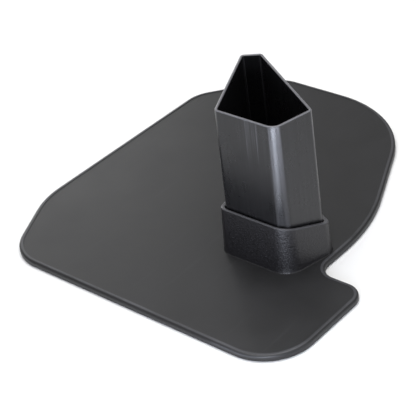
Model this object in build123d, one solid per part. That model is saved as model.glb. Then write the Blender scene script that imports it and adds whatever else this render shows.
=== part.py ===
from build123d import *
import os
from math import cos, radians, sin, tan

# Free-standing foot of a sign board: a broad flat plate, a collar fixed to it, and a five-sided
# hollow post sleeve that stands in the collar and lifts straight out of it.
# X runs along the long front edge, Y to the back, Z up. The origin is the middle of the footprint,
# on the surface that the object stands on. All sizes in mm.

# Base plate
plate_width = 441.0
plate_depth = 482.0
plate_thickness = 7.0
front_left_cut = (51.0, 103.0)      # oblique edge, size along X and along Y
rear_left_cut = (79.0, 91.0)
front_left_radii = (60.0, 111.0)    # at its front end and at its left end
rear_left_radii = (45.0, 45.0)      # at its left end and at its rear end
lobe_length = 153.8                 # front right lobe, from the front edge to the notch
lobe_front_radius = 57.0
lobe_rear_radius = 22.5
notch_depth = 65.0                  # how far the notch steps in from the right side
notch_radius = 20.5
right_side_top = 260.0              # where the straight right side turns into the oblique one
right_side_radius = 245.0
rear_right_cut = 166.5              # how far in from the right side the rear edge ends
rear_right_radius = 154.0
rim_width = 5.0                     # raised rounded lip all round the top face
rim_height = 0.5
rim_radius = 3.2
plate_bottom_radius = 1.2

# Post sleeve: five-sided tube, its section stated at the mouth, the widest face to the front
front_face = 79.8
right_face = 52.0
right_face_heading = 76.7           # degrees from +X, going round the section
left_side = 123.5
left_side_heading = 115.6
right_side = 145.6
right_side_heading = 149.3
front_corner_radius = 14.0
side_corner_radius = 5.0
left_corner_radius = 7.5            # the softer corner at the left end of the front face
sleeve_from_right = 92.5            # mouth's front corner, in from the right side of the plate
sleeve_from_front = 137.9           # and back from the front edge
sleeve_length = 175.5
sleeve_wall = 3.0
sleeve_draft = 0.7                  # degrees a side, narrower towards the mouth
sleeve_lip_radius = 1.2

# Collar
collar_height = 57.9                # above the plate, at the front
collar_rim_fall = 17.4              # degrees, the rim falls towards the rear
collar_wall = 4.2                   # at the front of the rim
collar_draft = 2.5
collar_floor = 4.0
collar_lip_radius = 1.4
foot_lip = 1.0                      # small bead where the collar meets the plate
foot_lip_height = 1.2               # its slope runs in under the drafted wall
socket_clearance = 0.6              # sleeve foot to socket wall

# Fixings under the collar
boss_inset = 17.0                   # boss centre to each of its two nearest sleeve faces
boss_radius = 6.5
boss_height = 11.0
insert_radius = 3.5
insert_length = 9.0
screw_radius = 2.5
screw_hole_radius = 2.8
screw_head_radius = 4.8
screw_head_height = 2.4
thread_clearance = 0.05
thread_engagement = 7.0
socket_size = 3.0                   # hexagon drive, across flats
socket_depth = 1.3
backing_thickness = 3.0
backing_margin = 14.0               # beyond the screw centres
backing_radius = 12.0
backing_clearance = 0.3             # round the backing plate in its pocket
pocket_depth = 3.2

# Grip pads
pad_radius = 13.0
pad_thickness = 2.6
pad_stand = 0.8                     # how far the pads stand proud of the underside
pad_clearance = 0.2                 # round a pad in its pocket
pad_edge_radius = 0.6
pad_inset = 36.0                    # pad centre to its nearest side of the plate
# Each pad lies beside one side of the plate, counted anticlockwise from the front edge, and a
# share of the way along it.
pad_sides = [(0, 0.12), (0, 0.84), (1, 0.62), (3, 0.8), (4, 0.5), (5, 0.45), (6, 0.5), (7, 0.5), (7, 0.9)]

# Levels and places that follow from the sizes above
plate_bottom = pad_stand
plate_top = plate_bottom + plate_thickness
floor_top = plate_top + collar_floor
backing_bottom = plate_bottom + pocket_depth - backing_thickness
front = -plate_depth / 2
rear = plate_depth / 2
left = -plate_width / 2
right = plate_width / 2
waist = right - notch_depth
sleeve_corner = (right - sleeve_from_right, front + sleeve_from_front)
foot_growth = sleeve_length * tan(radians(sleeve_draft))
socket_growth = foot_growth + socket_clearance
rim_growth = socket_growth + collar_wall
collar_growth = rim_growth + collar_height * tan(radians(collar_draft))


def step(start, heading, distance):
    """The point reached by going a distance from a start along a heading in degrees."""
    angle = radians(heading)
    return (start[0] + distance * cos(angle), start[1] + distance * sin(angle))


def meeting(first, first_heading, second, second_heading):
    """Where two lines meet, each given by a point and a heading."""
    across = (second[0] - first[0]) * sin(radians(second_heading))
    along = (second[1] - first[1]) * cos(radians(second_heading))
    return step(first, first_heading, (across - along) / sin(radians(second_heading - first_heading)))


def grown(corners, distance):
    """An anticlockwise polygon with every side moved outwards by one distance."""
    moved = []
    for index, corner in enumerate(corners):
        before = Vector(*corners[index - 1])
        here = Vector(*corner)
        after = Vector(*corners[(index + 1) % len(corners)])
        side_in = (here - before).normalized()
        side_out = (after - here).normalized()
        normal_in = Vector(side_in.Y, -side_in.X)
        normal_out = Vector(side_out.Y, -side_out.X)
        shift = (normal_in + normal_out) * (distance / (1 + normal_in.dot(normal_out)))
        moved.append((here.X + shift.X, here.Y + shift.Y))
    return moved


def rounded(corners, radii, level):
    """A face at a level, with its own radius at each corner."""
    outline = FilletPolyline(*corners, radius=radii, close=True)
    return Pos(0, 0, level) * make_face(outline)


def plate_corners():
    """Sharp corners of the plate, anticlockwise from the left end of the front edge."""
    return [
        (left + front_left_cut[0], front),
        (right, front),
        (right, front + lobe_length),
        (waist, front + lobe_length),
        (waist, front + right_side_top),
        (right - rear_right_cut, rear),
        (left + rear_left_cut[0], rear),
        (left, rear - rear_left_cut[1]),
        (left, front + front_left_cut[1]),
    ]


def plate_face(inset, level):
    """The plate's outline moved in by a distance. Only the notch's inner corner is hollow."""
    convex_radii = [front_left_radii[0], lobe_front_radius, lobe_rear_radius]
    hollow_radii = [notch_radius]
    further_radii = [right_side_radius, rear_right_radius, rear_left_radii[1], rear_left_radii[0],
                     front_left_radii[1]]
    radii = [radius - inset for radius in convex_radii]
    radii += [radius + inset for radius in hollow_radii]
    radii += [radius - inset for radius in further_radii]
    return rounded(grown(plate_corners(), -inset), radii, level)


def sleeve_corners():
    """Sharp corners of the sleeve's outside at its mouth, anticlockwise from the front corner."""
    left_front = step(sleeve_corner, 180, front_face)
    right_front = step(sleeve_corner, right_face_heading, right_face)
    left_rear = step(left_front, left_side_heading, left_side)
    right_rear = step(right_front, right_side_heading, right_side)
    return [sleeve_corner, right_front, right_rear, left_rear, left_front]


def sleeve_face(growth, level):
    """The sleeve's section, grown all round from its size at the mouth."""
    corner_radii = [front_corner_radius] + [side_corner_radius] * 3 + [left_corner_radius]
    radii = [radius + growth for radius in corner_radii]
    return rounded(grown(sleeve_corners(), growth), radii, level)


def screw_places():
    """Boss and screw centres: one in each front corner of the sleeve and one towards its rear."""
    corners = sleeve_corners()
    right_front = corners[1]
    left_front = corners[-1]
    apex = meeting(left_front, left_side_heading, right_front, right_side_heading)
    return grown([sleeve_corner, right_front, apex, left_front], -boss_inset)


def pad_places():
    """Pad centres, each beside one side of the plate and a share of the way along it."""
    corners = plate_corners()
    places = []
    for side, share in pad_sides:
        after = (side + 1) % len(corners)
        start = Vector(*corners[side])
        end = Vector(*corners[after])
        heading = (end - start).normalized()
        spot = start + (end - start) * share + Vector(-heading.Y, heading.X) * pad_inset
        places.append((spot.X, spot.Y))
    return places


def post(place, radius, bottom, top):
    """An upright cylinder at a place, between two levels."""
    upward = (Align.CENTER, Align.CENTER, Align.MIN)
    return Pos(*place, bottom) * Cylinder(radius, top - bottom, align=upward)


def backing_face(growth, level):
    """The backing plate's rounded outline round the screws."""
    corners = grown(screw_places(), backing_margin + growth)
    return rounded(corners, [backing_radius + growth] * 4, level)


def countersink(place):
    """The cone of a screw head, flush with the underside of the backing plate."""
    upward = (Align.CENTER, Align.CENTER, Align.MIN)
    cone = Cone(screw_head_radius, screw_radius, screw_head_height, align=upward)
    return Pos(*place, backing_bottom) * cone


def make_base_plate():
    body = extrude(plate_face(0, plate_bottom), plate_thickness + rim_height)
    body = fillet(body.faces().sort_by(Axis.Z)[-1].edges(), rim_radius)
    body = fillet(body.faces().sort_by(Axis.Z)[0].edges(), plate_bottom_radius)
    body -= extrude(plate_face(rim_width, plate_top), 2 * rim_height)
    body -= extrude(backing_face(backing_clearance, plate_bottom), pocket_depth)
    for place in screw_places():
        body -= post(place, screw_hole_radius, plate_bottom, plate_top)
    for place in pad_places():
        body -= post(place, pad_radius + pad_clearance, plate_bottom, pad_thickness)
    return body


def make_grip_pads():
    pads = []
    for place in pad_places():
        pad = post(place, pad_radius, 0, pad_thickness)
        pads.append(fillet(pad.edges().sort_by(Axis.Z)[0], pad_edge_radius))
    return Compound(pads)


def make_backing_plate():
    body = extrude(backing_face(0, backing_bottom), backing_thickness)
    for place in screw_places():
        body -= countersink(place)
        body -= post(place, screw_hole_radius, backing_bottom, backing_bottom + backing_thickness)
    return body


def make_collar():
    body = extrude(sleeve_face(collar_growth, plate_top), collar_height, taper=collar_draft)
    rim_front = sleeve_corner[1] - rim_growth
    above_rim = Box(plate_width, plate_depth, collar_height, align=(Align.CENTER, Align.CENTER, Align.MIN))
    body -= Pos(0, rim_front, plate_top + collar_height) * Rot(X=-collar_rim_fall) * above_rim
    body -= extrude(sleeve_face(socket_growth, floor_top), collar_height)
    rim_face = body.faces().filter_by(GeomType.PLANE).sort_by(Axis.Z)[-1]
    body = fillet(rim_face.edges(), collar_lip_radius)
    body += extrude(sleeve_face(collar_growth + foot_lip, plate_top), foot_lip_height, taper=45)
    for place in screw_places():
        body += post(place, boss_radius, plate_top, floor_top + boss_height)
        body -= post(place, insert_radius, plate_top, plate_top + insert_length)
        body -= post(place, screw_hole_radius, plate_top, plate_top + insert_length + screw_hole_radius)
    return body


def make_collar_inserts():
    return Compound([
        post(place, insert_radius, plate_top, plate_top + insert_length)
        - post(place, screw_radius + thread_clearance, plate_top, plate_top + insert_length)
        for place in screw_places()
    ])


def make_collar_screws():
    screws = []
    for place in screw_places():
        drive = extrude(RegularPolygon(socket_size / 2, 6, major_radius=False), socket_depth)
        screw = countersink(place) + post(place, screw_radius, backing_bottom, plate_top + thread_engagement)
        screws.append(screw - Pos(*place, backing_bottom) * drive)
    return Compound(screws)


def make_sleeve():
    body = extrude(sleeve_face(foot_growth, floor_top), sleeve_length, taper=sleeve_draft)
    body -= extrude(sleeve_face(foot_growth - sleeve_wall, floor_top), sleeve_length, taper=sleeve_draft)
    mouth_face = body.faces().sort_by(Axis.Z)[-1]
    return fillet(mouth_face.edges(), sleeve_lip_radius)


nodes = {
    "base_plate": make_base_plate,
    "grip_pads": make_grip_pads,
    "backing_plate": make_backing_plate,
    "collar": make_collar,
    "collar_inserts": make_collar_inserts,
    "collar_screws": make_collar_screws,
    "post_sleeve": make_sleeve,
}
os.makedirs("parts", exist_ok=True)
for name, make in nodes.items():
    export_step(make(), f"parts/{name}.step")
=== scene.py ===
import math
import bpy
import bmesh
from mathutils import Matrix, Vector


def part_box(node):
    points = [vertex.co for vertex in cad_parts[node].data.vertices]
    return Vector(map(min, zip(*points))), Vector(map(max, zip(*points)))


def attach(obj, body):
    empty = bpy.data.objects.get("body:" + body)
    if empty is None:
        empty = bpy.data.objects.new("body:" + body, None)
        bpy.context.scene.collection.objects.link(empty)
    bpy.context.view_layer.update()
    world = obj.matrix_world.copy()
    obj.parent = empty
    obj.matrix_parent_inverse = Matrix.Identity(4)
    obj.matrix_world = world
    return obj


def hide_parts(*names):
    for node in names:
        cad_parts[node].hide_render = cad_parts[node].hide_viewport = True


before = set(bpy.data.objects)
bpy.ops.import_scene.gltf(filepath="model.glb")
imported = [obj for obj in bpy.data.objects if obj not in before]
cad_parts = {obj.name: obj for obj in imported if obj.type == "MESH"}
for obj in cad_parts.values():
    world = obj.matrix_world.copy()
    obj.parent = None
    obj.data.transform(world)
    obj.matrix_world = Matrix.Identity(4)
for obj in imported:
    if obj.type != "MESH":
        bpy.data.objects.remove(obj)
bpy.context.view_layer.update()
mm = 0.001


def linearColour(hexValue):
    # an sRGB hex value as the linear colour that shaders and lights take
    channels = [int(hexValue[i:i + 2], 16) / 255 for i in (1, 3, 5)]
    return (*[c / 12.92 if c <= 0.04045 else ((c + 0.055) / 1.055) ** 2.4 for c in channels], 1.0)


def addNode(tree, kind, settings=None, links=None):
    # settings go to the node's own properties, or to its sockets by name or number, and links to sockets
    node = tree.nodes.new(kind)
    for key, value in (settings or {}).items():
        if isinstance(key, str) and hasattr(node, key):
            setattr(node, key, value)
        else:
            node.inputs[key].default_value = value
    for key, source in (links or {}).items():
        tree.links.new(source, node.inputs[key])
    return node


def cellsOf(size):
    # the scale that makes a noise or Voronoi cell this many millimetres across, on coordinates in metres
    return 1000.0 / size


def startMaterial(name):
    material = bpy.data.materials.new(name)
    material.use_nodes = True
    tree = material.node_tree
    tree.nodes.clear()
    return material, tree, addNode(tree, "ShaderNodeTexCoord").outputs["Object"]


def finishMaterial(tree, settings, links):
    shader = addNode(tree, "ShaderNodeBsdfPrincipled", settings, links)
    addNode(tree, "ShaderNodeOutputMaterial", None, {"Surface": shader.outputs["BSDF"]})


def linkObject(name, data):
    thing = bpy.data.objects.new(name, data)
    bpy.context.scene.collection.objects.link(thing)
    return thing


def plainMesh(piece):
    # what a piece's modifiers make of it, kept as its own mesh
    graph = bpy.context.evaluated_depsgraph_get()
    mesh = bpy.data.meshes.new_from_object(piece.evaluated_get(graph), depsgraph=graph)
    mesh.name = piece.name
    piece.modifiers.clear()
    piece.data = mesh


def weldedCopy(nodeName):
    # a CAD node's loose triangles as one joined mesh, with its flat faces whole again
    work = bmesh.new()
    work.from_mesh(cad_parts[nodeName].data)
    weldDistance = 0.002 * mm
    flatAngle = math.radians(0.05)
    bmesh.ops.remove_doubles(work, verts=work.verts, dist=weldDistance)
    bmesh.ops.dissolve_limit(work, angle_limit=flatAngle, verts=work.verts, edges=work.edges)
    return work


def mouldedPiece(pieceName, work):
    # rounds shade smoothly, flat faces stay flat, and edges sharper than crispAngle stay crisp
    crispAngle = math.radians(40)
    mesh = bpy.data.meshes.new(pieceName)
    work.to_mesh(mesh)
    work.free()
    piece = linkObject(pieceName, mesh)
    with bpy.context.temp_override(object=piece, active_object=piece, selected_editable_objects=[piece]):
        bpy.ops.object.shade_smooth_by_angle(angle=crispAngle)
    weighting = piece.modifiers.new("weighting", "WEIGHTED_NORMAL")
    weighting.keep_sharp = True
    weighting.weight = 100
    plainMesh(piece)
    return piece


def placePiece(piece, body, nodeName, materials):
    piece.data.materials.clear()
    for material in materials:
        piece.data.materials.append(material)
    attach(piece, body)
    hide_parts(nodeName)


view = {
    "azimuth": 44.43,       # degrees round from the front, towards the right
    "elevation": 33.346,    # degrees above the floor
    "roll": 8.0,            # degrees that the camera leans, so that uprights lean to the left
    "distance": 1.6536,     # metres from the aim
    "aim": (-0.0367, -0.0452, 0.0),
    "lens": 120.87,         # millimetres on a 36 mm sensor
}


def makeCamera():
    camera = bpy.data.cameras.new("camera")
    camera.lens = view["lens"]
    camera.sensor_width = 36
    camera.clip_end = 50
    holder = linkObject("camera", camera)
    azimuth = math.radians(view["azimuth"])
    elevation = math.radians(view["elevation"])
    away = Vector((math.sin(azimuth) * math.cos(elevation), -math.cos(azimuth) * math.cos(elevation),
                   math.sin(elevation)))
    turn = (-away).to_track_quat("-Z", "Y").to_matrix().to_4x4()
    lean = Matrix.Rotation(math.radians(-view["roll"]), 4, "Z")
    holder.matrix_world = Matrix.Translation(Vector(view["aim"]) + away * view["distance"]) @ turn @ lean
    bpy.context.scene.camera = holder


makeCamera()
print("camera placed")

plate = {
    "dark": "#171718",
    "light": "#1c1c1e",
    "rubbedAndPaintedHighlight": "#4c4c50",        # the raised rim, polished by handling and lightened further as a painted highlight
    "cloud": 60,                # millimetres across a patch of slightly different tone
    "grain": 1.4,               # millimetres; the real spark texture is 0.3, too fine to show
    "grainDepth": 0.05,
    "scratch": 9,               # millimetres between faint handling scratches
    "roughness": (0.42, 0.52),
    "rimRubAndHighlightSpan": (0.12, 0.42),    # millimetres above the flat top where the rubbing and painted highlight start and where they are full
    "rimHeight": 0.5,
    "ior": 1.49,
}


def matteMouldedPolypropylene():
    # moulded in a spark-eroded tool: a dry, even black with a soft sheen at low angles, its rim rubbed grey
    # and lightened with a painted highlight
    material, tree, place = startMaterial("matteMouldedPolypropylene")
    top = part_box("base_plate")[1][2]
    cloud = addNode(tree, "ShaderNodeTexNoise", {"Scale": cellsOf(plate["cloud"]), "Detail": 5.0,
                                                 "Roughness": 0.6}, {"Vector": place})
    tone = addNode(tree, "ShaderNodeValToRGB", None, {"Fac": cloud.outputs["Fac"]})
    tone.color_ramp.elements[0].position = 0.3
    tone.color_ramp.elements[0].color = linearColour(plate["dark"])
    tone.color_ramp.elements[1].position = 0.7
    tone.color_ramp.elements[1].color = linearColour(plate["light"])
    grain = addNode(tree, "ShaderNodeTexNoise", {"Scale": cellsOf(plate["grain"]), "Detail": 3.0,
                                                 "Roughness": 0.6}, {"Vector": place})
    stretched = addNode(tree, "ShaderNodeMapping", {"Rotation": (0, 0, math.radians(28)),
                                                    "Scale": (1.0, 0.06, 1.0)}, {"Vector": place})
    scratches = addNode(tree, "ShaderNodeTexNoise",
                        {"Scale": cellsOf(plate["scratch"]), "Detail": 6.0, "Roughness": 0.7},
                        {"Vector": stretched.outputs["Vector"]})
    scratched = addNode(tree, "ShaderNodeMapRange", {"From Min": 0.6, "From Max": 0.74, "To Max": 0.12},
                        {"Value": scratches.outputs["Fac"]})
    height = addNode(tree, "ShaderNodeSeparateXYZ", None, {"Vector": place})
    flatTop = top - plate["rimHeight"] * mm
    onRim = addNode(tree, "ShaderNodeMapRange", {"interpolation_type": "SMOOTHSTEP",
                                                 "From Min": flatTop + plate["rimRubAndHighlightSpan"][0] * mm,
                                                 "From Max": flatTop + plate["rimRubAndHighlightSpan"][1] * mm},
                    {"Value": height.outputs["Z"]})
    patchy = addNode(tree, "ShaderNodeMapRange", {"From Min": 0.35, "From Max": 0.7, "To Min": 0.25,
                                                  "To Max": 0.75}, {"Value": cloud.outputs["Fac"]})
    # the rim band: rubbing and a painted highlight, in random patches
    rubbedAndPaintedHighlight = addNode(tree, "ShaderNodeMath", {"operation": "MULTIPLY"},
                     {0: onRim.outputs["Result"], 1: patchy.outputs["Result"]})
    marked = addNode(tree, "ShaderNodeMath", {"operation": "MAXIMUM"},
                     {0: rubbedAndPaintedHighlight.outputs["Value"], 1: scratched.outputs["Result"]})
    colour = addNode(tree, "ShaderNodeMix", {"data_type": "RGBA"},
                     {"Factor": marked.outputs["Value"], 6: tone.outputs["Color"]})
    colour.inputs[7].default_value = linearColour(plate["rubbedAndPaintedHighlight"])
    bump = addNode(tree, "ShaderNodeBump", {"Strength": 0.5, "Distance": plate["grainDepth"] * mm},
                   {"Height": grain.outputs["Fac"]})
    gloss = addNode(tree, "ShaderNodeMapRange", {"From Min": 0.3, "From Max": 0.7,
                                                 "To Min": plate["roughness"][0],
                                                 "To Max": plate["roughness"][1]},
                    {"Value": cloud.outputs["Fac"]})
    finishMaterial(tree, {"IOR": plate["ior"]}, {"Base Color": colour.outputs[2],
                                              "Roughness": gloss.outputs["Result"],
                                              "Normal": bump.outputs["Normal"]})
    return material


def makePlate():
    piece = mouldedPiece("basePlate", weldedCopy("base_plate"))
    placePiece(piece, "base", "base_plate", [matteMouldedPolypropylene()])


makePlate()
print("plate made")

collar = {
    "dark": "#0f0e10",
    "light": "#1b1a1d",
    # the rim band's colour: rubbing and a painted highlight
    "rubbedAndPaintedHighlight": "#58585d",
    "grain": 1.9,               # millimetres; the real etched pebbles are 0.5, too fine to show
    "grainDepth": 0.28,
    "rimRubAndHighlightWidth": 1.3,            # millimetres down from the sloping rim that hands and the sleeve polish, also where the painted highlight lies
    "roughness": (0.36, 0.52),
    "ior": 1.49,
}


def rimPlane(nodeName):
    # the flat sloping top of a piece as a point and an upward normal, from its largest such face
    work = weldedCopy(nodeName)
    high = [face for face in work.faces if 0.5 < face.normal.z < 0.999
            and face.calc_center_median().z > 0.6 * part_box(nodeName)[1][2]]
    best = max(high, key=lambda face: face.calc_area())
    found = (best.calc_center_median().copy(), best.normal.copy())
    work.free()
    return found


def grainedMouldedPolypropylene():
    # a coarser etched grain than the plate's, which breaks the light on the round corner into fine sparkle;
    # the rim band is rubbed and carries a painted highlight
    material, tree, place = startMaterial("grainedMouldedPolypropylene")
    pebbles = addNode(tree, "ShaderNodeTexVoronoi",
                      {"feature": "SMOOTH_F1", "Scale": cellsOf(collar["grain"]), "Smoothness": 0.4},
                      {"Vector": place})
    dust = addNode(tree, "ShaderNodeTexNoise", {"Scale": cellsOf(2.5), "Detail": 4.0, "Roughness": 0.7},
                   {"Vector": place})
    relief = addNode(tree, "ShaderNodeMath", {"operation": "ADD"},
                     {0: pebbles.outputs["Distance"], 1: dust.outputs["Fac"]})
    tone = addNode(tree, "ShaderNodeValToRGB", None, {"Fac": dust.outputs["Fac"]})
    tone.color_ramp.elements[0].position = 0.35
    tone.color_ramp.elements[0].color = linearColour(collar["dark"])
    tone.color_ramp.elements[1].position = 0.68
    tone.color_ramp.elements[1].color = linearColour(collar["light"])
    point, normal = rimPlane("collar")
    above = addNode(tree, "ShaderNodeVectorMath", {"operation": "DOT_PRODUCT", 1: normal}, {0: place})
    rimLevel = point.dot(normal)
    # rubbing and a painted highlight along the rim
    rimRubAndHighlight = addNode(tree, "ShaderNodeMapRange", {"interpolation_type": "SMOOTHSTEP",
                                                   "From Min": rimLevel - collar["rimRubAndHighlightWidth"] * mm,
                                                   "From Max": rimLevel - 0.2 * mm, "To Max": 0.7},
                      {"Value": above.outputs["Value"]})
    colour = addNode(tree, "ShaderNodeMix", {"data_type": "RGBA"},
                     {"Factor": rimRubAndHighlight.outputs["Result"], 6: tone.outputs["Color"]})
    colour.inputs[7].default_value = linearColour(collar["rubbedAndPaintedHighlight"])
    bump = addNode(tree, "ShaderNodeBump", {"Strength": 0.8, "Distance": collar["grainDepth"] * mm},
                   {"Height": relief.outputs["Value"]})
    gloss = addNode(tree, "ShaderNodeMapRange", {"From Min": 0.3, "From Max": 0.7,
                                                 "To Min": collar["roughness"][0],
                                                 "To Max": collar["roughness"][1]},
                    {"Value": dust.outputs["Fac"]})
    finishMaterial(tree, {"IOR": collar["ior"]}, {"Base Color": colour.outputs[2],
                                               "Roughness": gloss.outputs["Result"],
                                               "Normal": bump.outputs["Normal"]})
    return material


def makeCollar():
    piece = mouldedPiece("socketCollar", weldedCopy("collar"))
    placePiece(piece, "base", "collar", [grainedMouldedPolypropylene()])


makeCollar()
print("collar made")

sleeve = {
    "body": "#101012",
    "streak": "#262628",
    # rubbed rounds, lip and scuffs; the rounds and lip also carry a painted highlight
    "rubbedAndPaintedHighlight": "#77777c",
    # painted shade: near black for the bore, where shade falls inside the tube
    "paintedShadeInside": "#020202",
    "grain": 1.0,               # millimetres, drawn coarse enough to show
    "grainDepth": 0.025,
    "roughness": (0.24, 0.34),
    "cornerRoughness": 0.16,    # added on the rounds, where handling has dulled them
    "ior": 1.5,
    "rubAndHighlightAngles": (10, 28),      # degrees away from a flat where a round starts to be rubbed and carry the painted highlight, and where it fully does
    "flatArea": 1500,           # square millimetres, above which a side counts as a flat
    "lip": 1.3,                 # millimetres down from the mouth, polished by posts going in and out and lightened as a painted highlight
    # each scuff: its middle as a share of the front face, half width and length down in millimetres, strength
    "scuffs": [
        (0.58, 1.6, 60, 0.3),
        (0.63, 1.4, 92, 0.26),
        (0.79, 2.2, 62, 0.26),
        (0.70, 12.0, 40, 0.14),
    ],
}


def paintRubAndHighlight(work):
    # how far each corner of the mesh turns from the flat sides: 0 on a flat, 1 in the middle of a round
    flats = [face.normal.copy() for face in work.faces
             if face.calc_area() > sleeve["flatArea"] * mm * mm and abs(face.normal.z) < 0.1]
    start, full = sleeve["rubAndHighlightAngles"]
    # this mask lightens the rounds with rubbing and a painted highlight, and dulls their gloss
    layer = work.verts.layers.float.new("rub")
    for vert in work.verts:
        side = Vector((vert.normal.x, vert.normal.y, 0))
        if side.length < 0.5:
            continue
        turned = min(side.angle(flat) for flat in flats)
        vert[layer] = max(0.0, min(1.0, (math.degrees(turned) - start) / (full - start)))


def satinMouldedPolypropylene():
    # a smoother tool than the plate's: darker and glossier, with fine upright draw marks and scuffs; its
    # rounds and mouth lip are rubbed and also carry a painted highlight, stronger towards the top on the
    # rounds
    material, tree, place = startMaterial("satinMouldedPolypropylene")
    low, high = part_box("post_sleeve")
    axes = addNode(tree, "ShaderNodeSeparateXYZ", None, {"Vector": place})
    upright = addNode(tree, "ShaderNodeMapping", {"Scale": (1.0, 1.0, 0.012)}, {"Vector": place})
    drawn = addNode(tree, "ShaderNodeTexNoise", {"Scale": cellsOf(1.6), "Detail": 3.0, "Roughness": 0.6},
                    {"Vector": upright.outputs["Vector"]})
    streaks = addNode(tree, "ShaderNodeMapRange", {"From Min": 0.4, "From Max": 0.8, "To Max": 0.5},
                      {"Value": drawn.outputs["Fac"]})
    cloud = addNode(tree, "ShaderNodeTexNoise", {"Scale": cellsOf(30), "Detail": 4.0, "Roughness": 0.6},
                    {"Vector": place})
    onBody = addNode(tree, "ShaderNodeMix", {"data_type": "RGBA"}, {"Factor": streaks.outputs["Result"]})
    onBody.inputs[6].default_value = linearColour(sleeve["body"])
    onBody.inputs[7].default_value = linearColour(sleeve["streak"])
    # front face runs along X: scuffs are upright bands on it, broken up by the draw marks
    faceLeft, faceRight = sleeveFront()
    onFront = addNode(tree, "ShaderNodeMath", {"operation": "LESS_THAN", 1: faceLeft.y + 6 * mm},
                      {0: axes.outputs["Y"]})
    marks = None
    for share, halfWidth, length, strength in sleeve["scuffs"]:
        middle = faceLeft.x + share * (faceRight.x - faceLeft.x)
        across = addNode(tree, "ShaderNodeMath", {"operation": "SUBTRACT", 1: middle},
                         {0: axes.outputs["X"]})
        away = addNode(tree, "ShaderNodeMath", {"operation": "ABSOLUTE"}, {0: across.outputs["Value"]})
        band = addNode(tree, "ShaderNodeMapRange", {"interpolation_type": "SMOOTHSTEP",
                                                    "From Min": halfWidth * mm, "From Max": 0.0},
                       {"Value": away.outputs["Value"]})
        fall = addNode(tree, "ShaderNodeMapRange", {"interpolation_type": "SMOOTHSTEP",
                                                    "From Min": high[2] - length * mm,
                                                    "From Max": high[2] - 0.3 * length * mm,
                                                    "To Max": strength}, {"Value": axes.outputs["Z"]})
        mark = addNode(tree, "ShaderNodeMath", {"operation": "MULTIPLY"},
                       {0: band.outputs["Result"], 1: fall.outputs["Result"]})
        if marks:
            mark = addNode(tree, "ShaderNodeMath", {"operation": "MAXIMUM"},
                           {0: mark.outputs["Value"], 1: marks.outputs["Value"]})
        marks = mark
    hairs = addNode(tree, "ShaderNodeMapRange", {"From Min": 0.48, "From Max": 0.62},
                    {"Value": drawn.outputs["Fac"]})
    broken = addNode(tree, "ShaderNodeMath", {"operation": "MULTIPLY"},
                     {0: marks.outputs["Value"], 1: hairs.outputs["Result"]})
    scuffed = addNode(tree, "ShaderNodeMath", {"operation": "MULTIPLY"},
                      {0: broken.outputs["Value"], 1: onFront.outputs["Value"]})
    # lip: rubbing and a painted highlight round the mouth
    lipRubAndHighlight = addNode(tree, "ShaderNodeMapRange", {"interpolation_type": "SMOOTHSTEP",
                                                   "From Min": high[2] - sleeve["lip"] * mm,
                                                   "From Max": high[2] - 0.2 * mm, "To Max": 0.75},
                      {"Value": axes.outputs["Z"]})
    # rounds: rubbing and a painted highlight, made stronger towards the top where the light falls brighter
    rubbedAndPaintedHighlight = addNode(tree, "ShaderNodeAttribute", {"attribute_name": "rub"})
    paintedHighlightTowardsTop = addNode(tree, "ShaderNodeMapRange", {"From Min": high[2] - 90 * mm, "From Max": high[2],
                                                  "To Min": 0.25, "To Max": 1.0},
                     {"Value": axes.outputs["Z"]})
    cornerRubAndHighlight = addNode(tree, "ShaderNodeMath", {"operation": "MULTIPLY"},
                     {0: rubbedAndPaintedHighlight.outputs["Fac"], 1: paintedHighlightTowardsTop.outputs["Result"]})
    edgeRubAndHighlight = addNode(tree, "ShaderNodeMath", {"operation": "MAXIMUM"},
                       {0: cornerRubAndHighlight.outputs["Value"], 1: lipRubAndHighlight.outputs["Result"]})
    worn = addNode(tree, "ShaderNodeMath", {"operation": "MAXIMUM"},
                   {0: edgeRubAndHighlight.outputs["Value"], 1: scuffed.outputs["Value"]})
    # worn mixes the scuffs with the rubbed rounds and lip, which also carry the painted highlight
    colour = addNode(tree, "ShaderNodeMix", {"data_type": "RGBA"},
                     {"Factor": worn.outputs["Value"], 6: onBody.outputs[2]})
    colour.inputs[7].default_value = linearColour(sleeve["rubbedAndPaintedHighlight"])
    grain = addNode(tree, "ShaderNodeTexNoise", {"Scale": cellsOf(sleeve["grain"]), "Detail": 3.0,
                                                 "Roughness": 0.65}, {"Vector": place})
    bump = addNode(tree, "ShaderNodeBump", {"Strength": 0.6, "Distance": sleeve["grainDepth"] * mm},
                   {"Height": grain.outputs["Fac"]})
    gloss = addNode(tree, "ShaderNodeMapRange", {"From Min": 0.3, "From Max": 0.7,
                                                 "To Min": sleeve["roughness"][0],
                                                 "To Max": sleeve["roughness"][1]},
                    {"Value": cloud.outputs["Fac"]})
    dulled = addNode(tree, "ShaderNodeMath", {"operation": "MULTIPLY_ADD", 1: sleeve["cornerRoughness"]},
                     {0: rubbedAndPaintedHighlight.outputs["Fac"], 2: gloss.outputs["Result"]})
    finishMaterial(tree, {"IOR": sleeve["ior"]}, {"Base Color": colour.outputs[2],
                                                  "Roughness": dulled.outputs["Value"],
                                                  "Normal": bump.outputs["Normal"]})
    return material


def shadedSleeveBore():
    # painted shade: the inside of the tube coloured near black, standing in for the shade deep inside it
    material, tree, place = startMaterial("shadedSleeveBore")
    cloud = addNode(tree, "ShaderNodeTexNoise", {"Scale": cellsOf(12), "Detail": 3.0}, {"Vector": place})
    gloss = addNode(tree, "ShaderNodeMapRange", {"To Min": 0.5, "To Max": 0.65},
                    {"Value": cloud.outputs["Fac"]})
    finishMaterial(tree, {"Base Color": linearColour(sleeve["paintedShadeInside"]), "Specular IOR Level": 0.02},
                   {"Roughness": gloss.outputs["Result"]})
    return material


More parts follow.
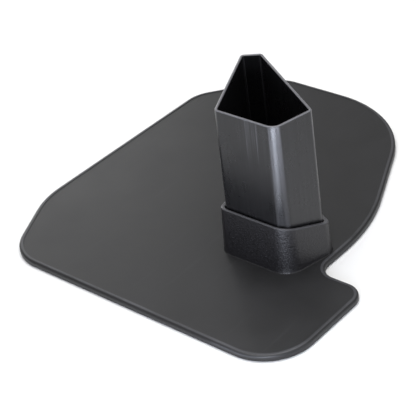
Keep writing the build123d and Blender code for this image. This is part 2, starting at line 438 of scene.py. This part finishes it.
def sleeveFront():
    # the two ends of the front face at the mouth, from the CAD mesh
    low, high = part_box("post_sleeve")
    work = weldedCopy("post_sleeve")
    facing = [face for face in work.faces if face.normal.y < -0.99
              and face.calc_area() > sleeve["flatArea"] * mm * mm]
    front = min(facing, key=lambda face: face.calc_center_median().y)
    topPoints = sorted((vert.co.copy() for vert in front.verts if vert.co.z > 0.5 * (low[2] + high[2])),
                       key=lambda point: point.x)
    work.free()
    return topPoints[0], topPoints[-1]


def makeSleeve():
    work = weldedCopy("post_sleeve")
    low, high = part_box("post_sleeve")
    middle = (Vector(low) + Vector(high)) / 2
    paintRubAndHighlight(work)
    # inner walls take the near-black painted-shade material
    for face in work.faces:
        centre = face.calc_center_median()
        inward = Vector((middle.x - centre.x, middle.y - centre.y, 0))
        face.material_index = 1 if face.normal.dot(inward) > 0 and abs(face.normal.z) < 0.3 else 0
    piece = mouldedPiece("postSleeve", work)
    placePiece(piece, "sleeve", "post_sleeve",
               [satinMouldedPolypropylene(), shadedSleeveBore()])


makeSleeve()
print("sleeve made")

turned = {
    "threadPitch": 0.8,     # millimetres, M5
    "threadDepth": 0.42,
    "knurlTeeth": 22,
    "knurlDepth": 0.28,
    "knurlLead": 1.7,       # millimetres along the insert for one tooth of the knurl's slant
}


def solidBoxes(nodeName):
    # each separate solid of a CAD node: its middle in plan, its bottom and top, and its radius
    work = weldedCopy(nodeName)
    waiting = set(work.verts)
    found = []
    while waiting:
        stack = [waiting.pop()]
        group = []
        while stack:
            vert = stack.pop()
            group.append(vert.co.copy())
            for edge in vert.link_edges:
                other = edge.other_vert(vert)
                if other in waiting:
                    waiting.discard(other)
                    stack.append(other)
        low = [min(point[axis] for point in group) for axis in range(3)]
        high = [max(point[axis] for point in group) for axis in range(3)]
        middle = ((low[0] + high[0]) / 2, (low[1] + high[1]) / 2)
        found.append((*middle, low[2], high[2], (high[0] - low[0]) / 2))
    work.free()
    return sorted(found)


def turnedTree():
    # Geometry Nodes: spins a profile into a solid, cuts a thread, a knurl and a hexagon where the profile's
    # marks ask for them, and puts one at each place
    tree = bpy.data.node_groups.new("turnedParts", "GeometryNodeTree")
    sockets = {"Profile": "Geometry", "Places": "Object", "Rows": "Int", "Segments": "Int", "Pitch": "Float",
               "Thread Depth": "Float", "Teeth": "Float", "Knurl Depth": "Float", "Lead": "Float",
               "Material": "Material"}
    for name, kind in sockets.items():
        tree.interface.new_socket(name, in_out="INPUT", socket_type="NodeSocket" + kind)
    tree.interface.new_socket("Solids", in_out="OUTPUT", socket_type="NodeSocketGeometry")
    given = addNode(tree, "NodeGroupInput").outputs
    known = {name: given[name] for name in sockets}

    def workOut(steps):
        # each step names a value, how it is made, and its terms: numbers, or names of values already known
        for name, operation, *terms in steps:
            numbers = {slot: term for slot, term in enumerate(terms) if not isinstance(term, str)}
            links = {slot: known[term] for slot, term in enumerate(terms) if isinstance(term, str)}
            node = addNode(tree, "ShaderNodeMath", {"operation": operation, **numbers}, links)
            known[name] = node.outputs["Value"]

    # a flat grid, one row for each point of the profile and one column for each segment
    workOut([("columns", "ADD", "Segments", 1)])
    grid = addNode(tree, "GeometryNodeMeshGrid", {"Size X": 1.0, "Size Y": 1.0},
                   {"Vertices X": known["Rows"], "Vertices Y": known["columns"]})
    position = addNode(tree, "GeometryNodeInputPosition").outputs["Position"]
    spot = addNode(tree, "ShaderNodeSeparateXYZ", None, {"Vector": position})
    known["across"] = spot.outputs["X"]
    known["along"] = spot.outputs["Y"]
    fullTurn = 2 * math.pi
    workOut([("lastRow", "SUBTRACT", "Rows", 1), ("rowShare", "ADD", "across", 0.5),
             ("rowExact", "MULTIPLY", "rowShare", "lastRow"), ("row", "ROUND", "rowExact"),
             ("turnShare", "ADD", "along", 0.5), ("angle", "MULTIPLY", "turnShare", fullTurn)])
    sampled = addNode(tree, "GeometryNodeSampleIndex", {"data_type": "FLOAT_VECTOR", "domain": "POINT"},
                      {"Geometry": given["Profile"], "Value": position, "Index": known["row"]})
    point = addNode(tree, "ShaderNodeSeparateXYZ", None, {"Vector": sampled.outputs["Value"]})
    known["plain"] = point.outputs["X"]
    known["level"] = point.outputs["Z"]
    for mark in ("thread", "knurl", "hexagon"):
        named = addNode(tree, "GeometryNodeInputNamedAttribute", {"data_type": "FLOAT", "Name": mark})
        marked = addNode(tree, "GeometryNodeSampleIndex", {"data_type": "FLOAT", "domain": "POINT"},
                         {"Geometry": given["Profile"], "Value": named.outputs["Attribute"],
                          "Index": known["row"]})
        known[mark] = marked.outputs["Value"]

    # thread: a V that winds down the screw, one turn to a pitch
    workOut([("pitches", "DIVIDE", "level", "Pitch"), ("turned", "DIVIDE", "angle", fullTurn),
             ("winding", "SUBTRACT", "pitches", "turned"), ("doubled", "MULTIPLY", "winding", 2),
             ("vee", "PINGPONG", "doubled", 1), ("crest", "SUBTRACT", "vee", 1),
             ("cut", "MULTIPLY", "crest", "Thread Depth"), ("threadCut", "MULTIPLY", "cut", "thread")])
    # knurl: two sets of slanting ridges that cross in diamonds
    workOut([("slant", "DIVIDE", "level", "Lead"), ("teethPerTurn", "DIVIDE", "Teeth", fullTurn),
             ("tooth", "MULTIPLY", "angle", "teethPerTurn"), ("leftPhase", "ADD", "tooth", "slant"),
             ("rightPhase", "SUBTRACT", "tooth", "slant"), ("left", "PINGPONG", "leftPhase", 0.5),
             ("right", "PINGPONG", "rightPhase", 0.5), ("lower", "MINIMUM", "left", "right"),
             ("raised", "MULTIPLY", "lower", 2), ("diamond", "SUBTRACT", "raised", 1),
             ("press", "MULTIPLY", "diamond", "Knurl Depth"), ("knurlCut", "MULTIPLY", "press", "knurl")])
    # hexagon: the radius grows from the middle of each flat to its corners
    workOut([("inFlat", "FLOORED_MODULO", "angle", fullTurn / 6),
             ("offFlat", "SUBTRACT", "inFlat", fullTurn / 12),
             ("cosFlat", "COSINE", "offFlat"), ("longer", "DIVIDE", 1.0, "cosFlat"),
             ("extra", "SUBTRACT", "longer", 1), ("asked", "MULTIPLY", "extra", "hexagon"),
             ("stretch", "ADD", "asked", 1)])
    workOut([("threaded", "ADD", "plain", "threadCut"), ("knurled", "ADD", "threaded", "knurlCut"),
             ("radius", "MULTIPLY", "knurled", "stretch"),
             ("cos", "COSINE", "angle"), ("sin", "SINE", "angle"),
             ("x", "MULTIPLY", "radius", "cos"), ("y", "MULTIPLY", "radius", "sin")])
    placed = addNode(tree, "ShaderNodeCombineXYZ", None,
                     {"X": known["x"], "Y": known["y"], "Z": known["level"]})
    spun = addNode(tree, "GeometryNodeSetPosition", None,
                   {"Geometry": grid.outputs["Mesh"], "Position": placed.outputs["Vector"]})
    closed = addNode(tree, "GeometryNodeMergeByDistance", {"Distance": 0.001 * mm},
                     {"Geometry": spun.outputs["Geometry"]})
    places = addNode(tree, "GeometryNodeObjectInfo", None, {"Object": given["Places"]})
    copies = addNode(tree, "GeometryNodeInstanceOnPoints", None,
                     {"Points": places.outputs["Geometry"], "Instance": closed.outputs["Geometry"]})
    real = addNode(tree, "GeometryNodeRealizeInstances", None, {"Geometry": copies.outputs["Instances"]})
    coated = addNode(tree, "GeometryNodeSetMaterial", None,
                     {"Geometry": real.outputs["Geometry"], "Material": given["Material"]})
    addNode(tree, "NodeGroupOutput", None, {"Solids": coated.outputs["Geometry"]})
    return tree


spinning = turnedTree()


def turnedPiece(pieceName, profile, nodeName, material, segments, crispAngle):
    # profile: (radius, height, mark) in metres, from one end of the solid to the other
    mesh = bpy.data.meshes.new(pieceName + "Profile")
    mesh.from_pydata([(radius, 0, height) for radius, height, mark in profile], [], [])
    for mark in ("thread", "knurl", "hexagon"):
        layer = mesh.attributes.new(mark, "FLOAT", "POINT")
        layer.data.foreach_set("value", [1.0 if point[2] == mark else 0.0 for point in profile])
    placesMesh = bpy.data.meshes.new(pieceName + "Places")
    placesMesh.from_pydata([(x, y, 0) for x, y, low, high, radius in solidBoxes(nodeName)], [], [])
    places = linkObject(pieceName + "Places", placesMesh)
    piece = linkObject(pieceName, mesh)
    modifier = piece.modifiers.new("turned", "NODES")
    modifier.node_group = spinning
    values = {"Places": places, "Rows": len(profile), "Segments": segments,
              "Pitch": turned["threadPitch"] * mm, "Thread Depth": turned["threadDepth"] * mm,
              "Teeth": float(turned["knurlTeeth"]), "Knurl Depth": turned["knurlDepth"] * mm,
              "Lead": turned["knurlLead"] * mm, "Material": material}
    for item in spinning.interface.items_tree:
        if item.in_out == "INPUT" and item.name in values:
            modifier[item.identifier] = values[item.name]
    plainMesh(piece)
    bpy.data.objects.remove(places)
    work = bmesh.new()
    work.from_mesh(piece.data)
    bmesh.ops.recalc_face_normals(work, faces=work.faces)
    work.to_mesh(piece.data)
    work.free()
    with bpy.context.temp_override(object=piece, active_object=piece, selected_editable_objects=[piece]):
        bpy.ops.object.shade_smooth_by_angle(angle=math.radians(crispAngle))
    placePiece(piece, "base", nodeName, [material])


pads = {
    "colour": "#161617",
    "worn": "#2b2b2c",
    "rings": 4,             # grooves moulded into the tread
    "grooveWidth": 1.0,
    "grooveDepth": 0.5,
    # half a groove's width across its middle, and how much of its depth is reached there
    "groove": ((-1.4, 0.0), (-1.0, 0.15), (-0.7, 1.0), (0.7, 1.0), (1.0, 0.15), (1.4, 0.0)),
    "edge": 0.6,            # radius of the pad's rounded lower edge
    "grain": 0.9,
    "segments": 72,
    "crispAngle": 35,
    "ior": 1.52,
}


def mouldedNitrileRubber():
    # dull and slightly dusty, a little greyer where it stands on the floor
    material, tree, place = startMaterial("mouldedNitrileRubber")
    dust = addNode(tree, "ShaderNodeTexNoise", {"Scale": cellsOf(4), "Detail": 5.0, "Roughness": 0.7},
                   {"Vector": place})
    tone = addNode(tree, "ShaderNodeValToRGB", None, {"Fac": dust.outputs["Fac"]})
    tone.color_ramp.elements[0].position = 0.4
    tone.color_ramp.elements[0].color = linearColour(pads["colour"])
    tone.color_ramp.elements[1].position = 0.75
    tone.color_ramp.elements[1].color = linearColour(pads["worn"])
    grain = addNode(tree, "ShaderNodeTexNoise", {"Scale": cellsOf(pads["grain"]), "Detail": 2.0},
                    {"Vector": place})
    bump = addNode(tree, "ShaderNodeBump", {"Strength": 0.5, "Distance": 0.08 * mm},
                   {"Height": grain.outputs["Fac"]})
    gloss = addNode(tree, "ShaderNodeMapRange", {"To Min": 0.68, "To Max": 0.88},
                    {"Value": dust.outputs["Fac"]})
    finishMaterial(tree, {"IOR": pads["ior"]}, {"Base Color": tone.outputs["Color"],
                                                "Roughness": gloss.outputs["Result"],
                                                "Normal": bump.outputs["Normal"]})
    return material


def makePads():
    x, y, low, high, radius = solidBoxes("grip_pads")[0]
    depth = pads["grooveDepth"] * mm
    half = pads["grooveWidth"] * mm / 2
    profile = [(0.0, low, "")]
    for ring in range(1, pads["rings"] + 1):
        middle = radius * ring / (pads["rings"] + 1)
        profile += [(middle + across * half, low + share * depth, "") for across, share in pads["groove"]]
    edge = pads["edge"] * mm
    steps = 6
    for step in range(steps + 1):
        turn = math.radians(90) * step / steps
        profile.append((radius - edge + edge * math.sin(turn), low + edge - edge * math.cos(turn), ""))
    profile += [(radius, high, ""), (0.0, high, "")]
    turnedPiece("gripPads", profile, "grip_pads", mouldedNitrileRubber(), pads["segments"],
                pads["crispAngle"])


makePads()
print("pads made")

fixings = {
    "zinc": "#a9adb4",
    "zincDark": "#7d8188",
    "brass": "#b8944c",
    "brassDark": "#8a6b33",
    "socketFlats": 3.0,     # millimetres across the hexagon
    "socketDepth": 1.3,
    "socketPoint": 0.4,     # how much deeper the drill point goes
    "socketTaper": 0.98,
    "socketRim": 0.35,
    "headRound": 0.1,
    "land": 0.15,           # flat rim round the screw head
    "shank": 2.5,           # screw radius
    "headHeight": 2.4,
    "neck": 0.3,            # plain length under the head's cone
    "threadStart": 5.0,     # above the underside of the plate
    "point": 0.6,           # chamfer at the screw's end
    "screwSegments": 48,
    "insertSegments": 132,
    "insertBore": 2.56,
    "insertChamfer": 0.3,
    "insertGroove": (0.46, 0.5, 0.56, 0.6),     # where the groove between the knurls starts and ends
    "crispAngle": 30,
    "rowStep": 0.1,         # millimetres between rows along a thread or knurl
}


def zincPlatedSteel(name, marks):
    # a bright bluish plating, clouded by handling, with fine turning or rolling marks
    material, tree, place = startMaterial(name)
    cloud = addNode(tree, "ShaderNodeTexNoise", {"Scale": cellsOf(6), "Detail": 5.0, "Roughness": 0.65},
                    {"Vector": place})
    tone = addNode(tree, "ShaderNodeValToRGB", None, {"Fac": cloud.outputs["Fac"]})
    tone.color_ramp.elements[0].position = 0.35
    tone.color_ramp.elements[0].color = linearColour(fixings["zincDark"])
    tone.color_ramp.elements[1].position = 0.65
    tone.color_ramp.elements[1].color = linearColour(fixings["zinc"])
    rolled = addNode(tree, "ShaderNodeMapping", {"Scale": marks}, {"Vector": place})
    lines = addNode(tree, "ShaderNodeTexNoise", {"Scale": cellsOf(0.8), "Detail": 2.0},
                    {"Vector": rolled.outputs["Vector"]})
    bump = addNode(tree, "ShaderNodeBump", {"Strength": 0.3, "Distance": 0.02 * mm},
                   {"Height": lines.outputs["Fac"]})
    gloss = addNode(tree, "ShaderNodeMapRange", {"To Min": 0.24, "To Max": 0.46},
                    {"Value": cloud.outputs["Fac"]})
    finishMaterial(tree, {"Metallic": 1.0}, {"Base Color": tone.outputs["Color"],
                                             "Roughness": gloss.outputs["Result"],
                                             "Normal": bump.outputs["Normal"]})
    return material


def turnedBrass():
    # bar stock turned and knurled, yellow on the crests and browner where swarf and oil stayed
    material, tree, place = startMaterial("turnedBrass")
    cloud = addNode(tree, "ShaderNodeTexNoise", {"Scale": cellsOf(2), "Detail": 4.0}, {"Vector": place})
    tone = addNode(tree, "ShaderNodeValToRGB", None, {"Fac": cloud.outputs["Fac"]})
    tone.color_ramp.elements[0].position = 0.35
    tone.color_ramp.elements[0].color = linearColour(fixings["brassDark"])
    tone.color_ramp.elements[1].position = 0.65
    tone.color_ramp.elements[1].color = linearColour(fixings["brass"])
    gloss = addNode(tree, "ShaderNodeMapRange", {"To Min": 0.22, "To Max": 0.4},
                    {"Value": cloud.outputs["Fac"]})
    finishMaterial(tree, {"Metallic": 1.0}, {"Base Color": tone.outputs["Color"],
                                             "Roughness": gloss.outputs["Result"]})
    return material


def rows(radius, start, end, mark):
    # evenly spaced profile points along an upright stretch
    count = max(2, round(abs(end - start) / (fixings["rowStep"] * mm)))
    return [(radius, start + (end - start) * index / count, mark) for index in range(count + 1)]


def makeScrews():
    x, y, low, high, head = solidBoxes("collar_screws")[0]
    flats = fixings["socketFlats"] * mm / 2
    depth = fixings["socketDepth"] * mm
    shank = fixings["shank"] * mm
    land = fixings["land"] * mm
    neck = low + fixings["headHeight"] * mm
    landRadius = head - (head - shank) * land / (neck - low)
    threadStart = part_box("base_plate")[0][2] + fixings["threadStart"] * mm
    end = high - fixings["point"] * mm
    profile = [(0.0, low + depth + fixings["socketPoint"] * mm, ""),
               (flats * fixings["socketTaper"], low + depth, "hexagon"), (flats, low, "hexagon"),
               (flats + fixings["socketRim"] * mm, low, ""),
               (landRadius - fixings["headRound"] * mm, low, ""), (landRadius, low + land, ""),
               (shank, neck, "")]
    profile += rows(shank, neck + fixings["neck"] * mm, threadStart, "")
    profile += rows(shank, threadStart, end, "thread")
    profile += [(shank - fixings["point"] * mm, high, ""), (0.0, high, "")]
    turnedPiece("collarScrews", profile, "collar_screws",
                zincPlatedSteel("zincPlatedScrewSteel", (1, 1, 4)), fixings["screwSegments"],
                fixings["crispAngle"])


def makeInserts():
    x, y, low, high, radius = solidBoxes("collar_inserts")[0]
    bore = fixings["insertBore"] * mm
    chamfer = fixings["insertChamfer"] * mm
    groove = [low + share * (high - low) for share in fixings["insertGroove"]]
    profile = [(bore, low, ""), (radius - chamfer, low, ""), (radius, low + chamfer, "")]
    profile += rows(radius, low + 1.5 * chamfer, groove[0], "knurl")
    profile += [(radius - 2 * chamfer, groove[1], ""), (radius - 2 * chamfer, groove[2], "")]
    profile += rows(radius, groove[3], high - 1.5 * chamfer, "knurl")
    profile += [(radius, high - chamfer, ""), (radius - chamfer, high, ""), (bore + chamfer, high, ""),
                (bore, high - chamfer, ""), (bore, low, "")]
    turnedPiece("collarInserts", profile, "collar_inserts", turnedBrass(),
                fixings["insertSegments"], fixings["crispAngle"])


def makeBackingPlate():
    piece = mouldedPiece("backingPlate", weldedCopy("backing_plate"))
    material = zincPlatedSteel("rolledZincPlatedSteel", (1, 0.05, 1))
    placePiece(piece, "base", "backing_plate", [material])


makeScrews()
makeInserts()
makeBackingPlate()
print("fixings made")

# each light: where it stands, what it faces, its width and height in metres, its power and its colour
studio = {
    "floor": "#f2f2f2",
    "floorHalf": 6.0,       # metres
    "world": 0.294,
    "worldColour": "#ffffff",
    "lights": {
        "overhead": ((0.1, -0.1, 2.2), (0.0, 0.0, 0.0), (2.2, 2.2), 36.7, "#ffffff"),
        "overheadSmall": ((0.0, 0.0, 1.5), (0.0, 0.0, 0.0), (0.8, 0.8), 5.8, "#ffffff"),
        "rearWall": ((-1.81, 0.85, 0.55), (0.0, 0.0, 0.05), (1.2, 1.0), 10.6, "#ffffff"),
        "wallC": ((-1.15, 1.64, 0.55), (0.0, 0.0, 0.05), (0.8, 0.8), 0.5, "#ffffff"),
        "frontLeftHigh": ((-1.08, -1.0, 1.05), (0.05, -0.05, 0.1), (0.8, 0.6), 1.0, "#ffffff"),
        "rightHigh": ((1.15, 0.6, 1.3), (0.1, 0.0, 0.1), (0.8, 0.6), 1.0, "#ffffff"),
        "rightLow": ((1.6, 0.25, 0.3), (0.1, 0.0, 0.1), (0.8, 0.5), 2.5, "#ffffff"),
        "lowStrip": ((0.42, -0.62, 0.16), (0.12, -0.1, 0.12), (0.16, 0.3), 2.9, "#eaf0ff"),
        "floorCard": ((0.331, -0.416, 0.004), (0.331, -0.416, 1.0), (0.3, 0.16), 2.5, "#e6edff"),
        "nearCard": ((0.24, -0.29, 0.004), (0.24, -0.29, 1.0), (0.22, 0.09), 0.33, "#e6edff"),
    },
}


def palePaper():
    # an even matte white sheet with a barely visible tooth
    material, tree, place = startMaterial("palePaper")
    tooth = addNode(tree, "ShaderNodeTexNoise", {"Scale": cellsOf(3), "Detail": 2.0}, {"Vector": place})
    bump = addNode(tree, "ShaderNodeBump", {"Strength": 0.1, "Distance": 0.05 * mm},
                   {"Height": tooth.outputs["Fac"]})
    finishMaterial(tree, {"Base Color": linearColour(studio["floor"]), "Roughness": 0.9},
                   {"Normal": bump.outputs["Normal"]})
    return material


def makeStudio():
    floorMesh = bpy.data.meshes.new("floor")
    half = studio["floorHalf"]
    floorMesh.from_pydata([(-half, -half, 0), (half, -half, 0), (half, half, 0), (-half, half, 0)], [],
                          [(0, 1, 2, 3)])
    floor = linkObject("floor", floorMesh)
    floorMesh.materials.append(palePaper())
    world = bpy.data.worlds.new("studio")
    world.use_nodes = True
    background = world.node_tree.nodes["Background"]
    background.inputs["Color"].default_value = linearColour(studio["worldColour"])
    background.inputs["Strength"].default_value = studio["world"]
    bpy.context.scene.world = world
    for name, (place, target, size, power, colour) in studio["lights"].items():
        light = bpy.data.lights.new(name, "AREA")
        light.shape = "RECTANGLE"
        light.size, light.size_y = size
        light.energy = power
        light.color = linearColour(colour)[:3]
        holder = linkObject(name, light)
        holder.location = place
        holder.rotation_euler = (Vector(target) - Vector(place)).to_track_quat("-Z", "Y").to_euler()
        holder.visible_camera = False
    bpy.context.scene.view_settings.view_transform = "Standard"


makeStudio()
print("studio made")
